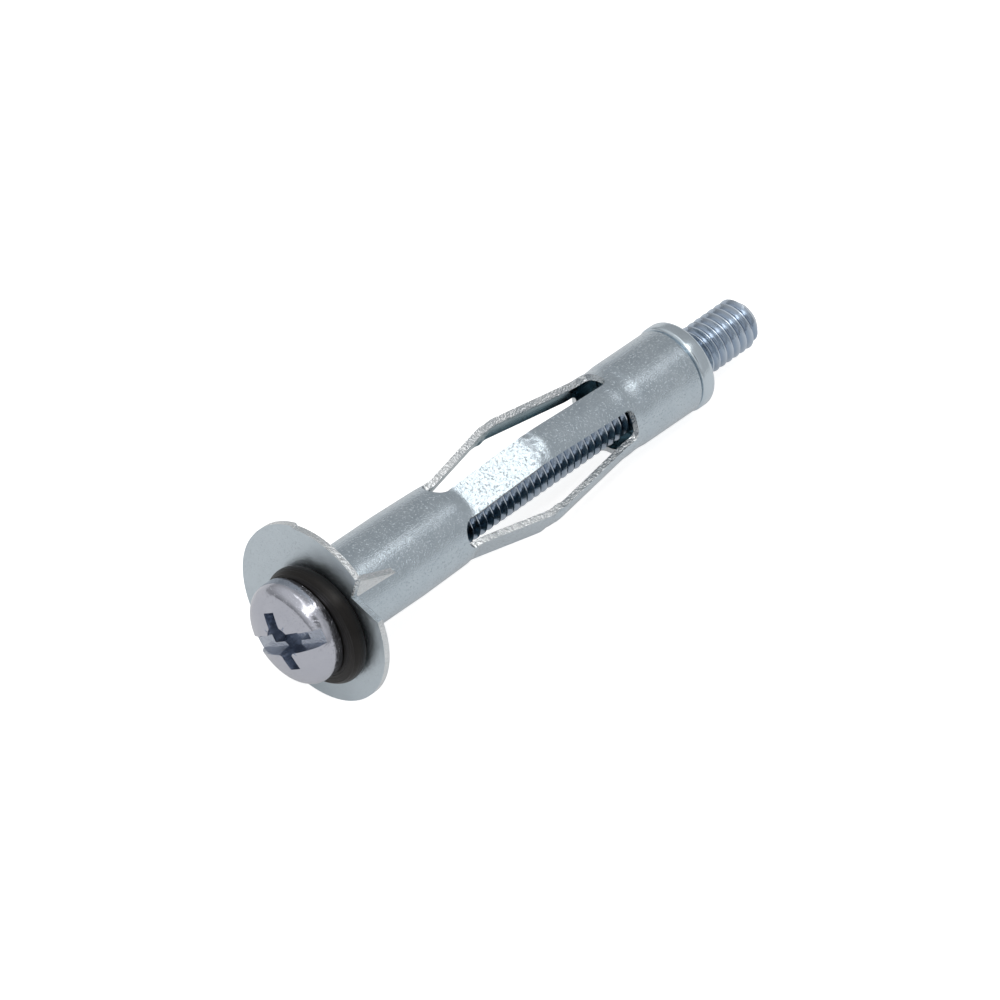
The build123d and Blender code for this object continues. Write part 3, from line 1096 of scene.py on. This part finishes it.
# %% The floor
FLOOR_SIZE, CAMERA_GLOW, MIRROR_GLOW = 4, 0.8, 0.29
bpy.ops.object.select_all(action="DESELECT")
bpy.ops.mesh.primitive_plane_add(size=FLOOR_SIZE, location=(0, 0, 0))
floor = bpy.context.object
floor.name = "floor"
paper = new_material("white_paper_sweep")
floor.data.materials.append(paper)
set_shader(paper, Roughness=0.9, Base_Color=linear("#C4C4C4"), Specular_IOR_Level=0.1)
rays = add_node(paper, "ShaderNodeLightPath")
mirrored = add_node(paper, "ShaderNodeMath", {"operation": "MULTIPLY"},
                    {0: rays.outputs["Is Glossy Ray"]})
mirrored.inputs[1].default_value = MIRROR_GLOW
seen = add_node(paper, "ShaderNodeMath", {"operation": "MULTIPLY_ADD"},
                {0: rays.outputs["Is Camera Ray"], 2: mirrored.outputs["Value"]})
seen.inputs[1].default_value = CAMERA_GLOW
glow = add_node(paper, "ShaderNodeEmission", links={"Strength": seen.outputs["Value"]},
                Color=(1, 1, 1, 1))
both = add_node(paper, "ShaderNodeAddShader",
                links={0: shader_of(paper).outputs["BSDF"], 1: glow.outputs["Emission"]})
paper.node_tree.links.new(both.outputs["Shader"],
                          paper.node_tree.nodes["Material Output"].inputs["Surface"])
print("floor material", paper.name)

# %% [markdown]
# Two long soft strips hang end to end over the anchor. The flat leg mirrors the first, and the
# screw's shoulder mirrors the second. A small softbox on the left lights what turns that way.
# Their light is slightly warm, against the cool zinc. A strip's power follows from its size,
# so that each can be set by how bright its mirror image is.

# %% The lamps
LAMP_COLOUR, LAMP_HEIGHT = (1.0, 0.965, 0.93), 0.6


def strip(name, start, end, width, radiance):
    """A soft light strip that hangs level between two places and shines straight down."""
    start, end = Vector((*start, LAMP_HEIGHT)), Vector((*end, LAMP_HEIGHT))
    run = end - start
    data = bpy.data.lights.new(name, "AREA")
    data.shape = "RECTANGLE"
    data.size, data.size_y = run.length, width
    data.energy = radiance * math.pi * run.length * width
    data.color = LAMP_COLOUR
    light = bpy.data.objects.new(name, data)
    bpy.context.scene.collection.objects.link(light)
    light.location = (start + end) / 2
    light.rotation_euler = (0, 0, math.atan2(run.y, run.x))


strip("overhead_strip", (0.12, 0.42), (0.16, 0.0), 0.13, 3.0)
strip("front_strip", (0.12, -0.02), (0.11, -0.7), 0.25, 2.1)
strip("small_softbox", (-0.32, 0.05), (-0.02, 0.0), 0.1, 1.6)

# %% [markdown]
# The room is the world's brightness by direction. Its ceiling is bright over the camera's side
# and dimmer behind, its walls are darker, and a ramp along X dims the left side a little. The
# ramp's levels are spread by a B-spline, so no band of light on the tube has an edge.

# %% The room
CEILING_Y, CEILING_LEVELS = (0.1, 0.55), (0.93, 0.56)
WALL_Y, WALL_LEVELS = (-0.6, 0.6), (0.4, 0.55)
CEILING_STARTS = (0.1, 0.6)
SIDE_LEVELS = ((0.0, 0.9), (0.34, 0.8), (0.56, 1.0), (1.0, 1.0))

world = bpy.data.worlds.new("studio")
bpy.context.scene.world = world
world.use_nodes = True
room = add_node(world, "ShaderNodeTexCoord")
compass = add_node(world, "ShaderNodeSeparateXYZ", links={"Vector": room.outputs["Generated"]})
walls = remap(world, compass.outputs["Y"], WALL_Y, WALL_LEVELS)
ceiling = remap(world, compass.outputs["Y"], CEILING_Y, CEILING_LEVELS)
height = remap(world, compass.outputs["Z"], CEILING_STARTS, (0.0, 1.0))
level = add_node(world, "ShaderNodeMix", links={"Factor": height, 2: walls, 3: ceiling})
sides = add_node(world, "ShaderNodeValToRGB",
                 links={"Fac": remap(world, compass.outputs["X"], (-1.0, 1.0), (0.0, 1.0))})
stops = sides.color_ramp.elements
for place, grey in SIDE_LEVELS:
    stop = stops.new(place) if 0 < place < 1 else stops[-1 if place else 0]
    stop.color = (grey, grey, grey, 1)
sides.color_ramp.interpolation = "B_SPLINE"
print("side levels", [(round(stop.position, 2), round(stop.color[0], 2)) for stop in stops])

# %% [markdown]
# A photographer hangs a dark flag where metal should mirror less. One here, high on the right,
# darkens the screw's shoulder beside the image of the strip, so that the line of light stands
# out. For the camera itself the world is plain white, which meets the floor without a seam.

# %% The dark flag and the white backdrop
FLAG_TOWARDS = Vector((0.6, -0.22, 0.77)).normalized()
FLAG_EDGE, FLAG_LEVELS = (0.9, 0.975), (1.0, 0.3)

towards = add_node(world, "ShaderNodeVectorMath", {"operation": "DOT_PRODUCT"},
                   {0: room.outputs["Generated"]})
towards.inputs[1].default_value = FLAG_TOWARDS
flag = remap(world, towards.outputs["Value"], FLAG_EDGE, FLAG_LEVELS)
shaped = add_node(world, "ShaderNodeMath", {"operation": "MULTIPLY"},
                  {0: level.outputs[0], 1: sides.outputs["Color"]})
flagged = add_node(world, "ShaderNodeMath", {"operation": "MULTIPLY"},
                   {0: shaped.outputs["Value"], 1: flag})
sky_rays = add_node(world, "ShaderNodeLightPath")
seen_level = add_node(world, "ShaderNodeMath", {"operation": "MAXIMUM"},
                      {0: flagged.outputs["Value"], 1: sky_rays.outputs["Is Camera Ray"]})
backdrop = world.node_tree.nodes["Background"]
backdrop.inputs["Color"].default_value = linear("#FFFFFF")
world.node_tree.links.new(seen_level.outputs["Value"], backdrop.inputs["Strength"])
print("world", world.name)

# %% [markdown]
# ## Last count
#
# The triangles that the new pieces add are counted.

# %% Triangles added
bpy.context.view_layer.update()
faces_added = sum(len(piece.data.polygons) for piece in (sleeve, nut, screw, washer))
print("triangles added about", 2 * faces_added)
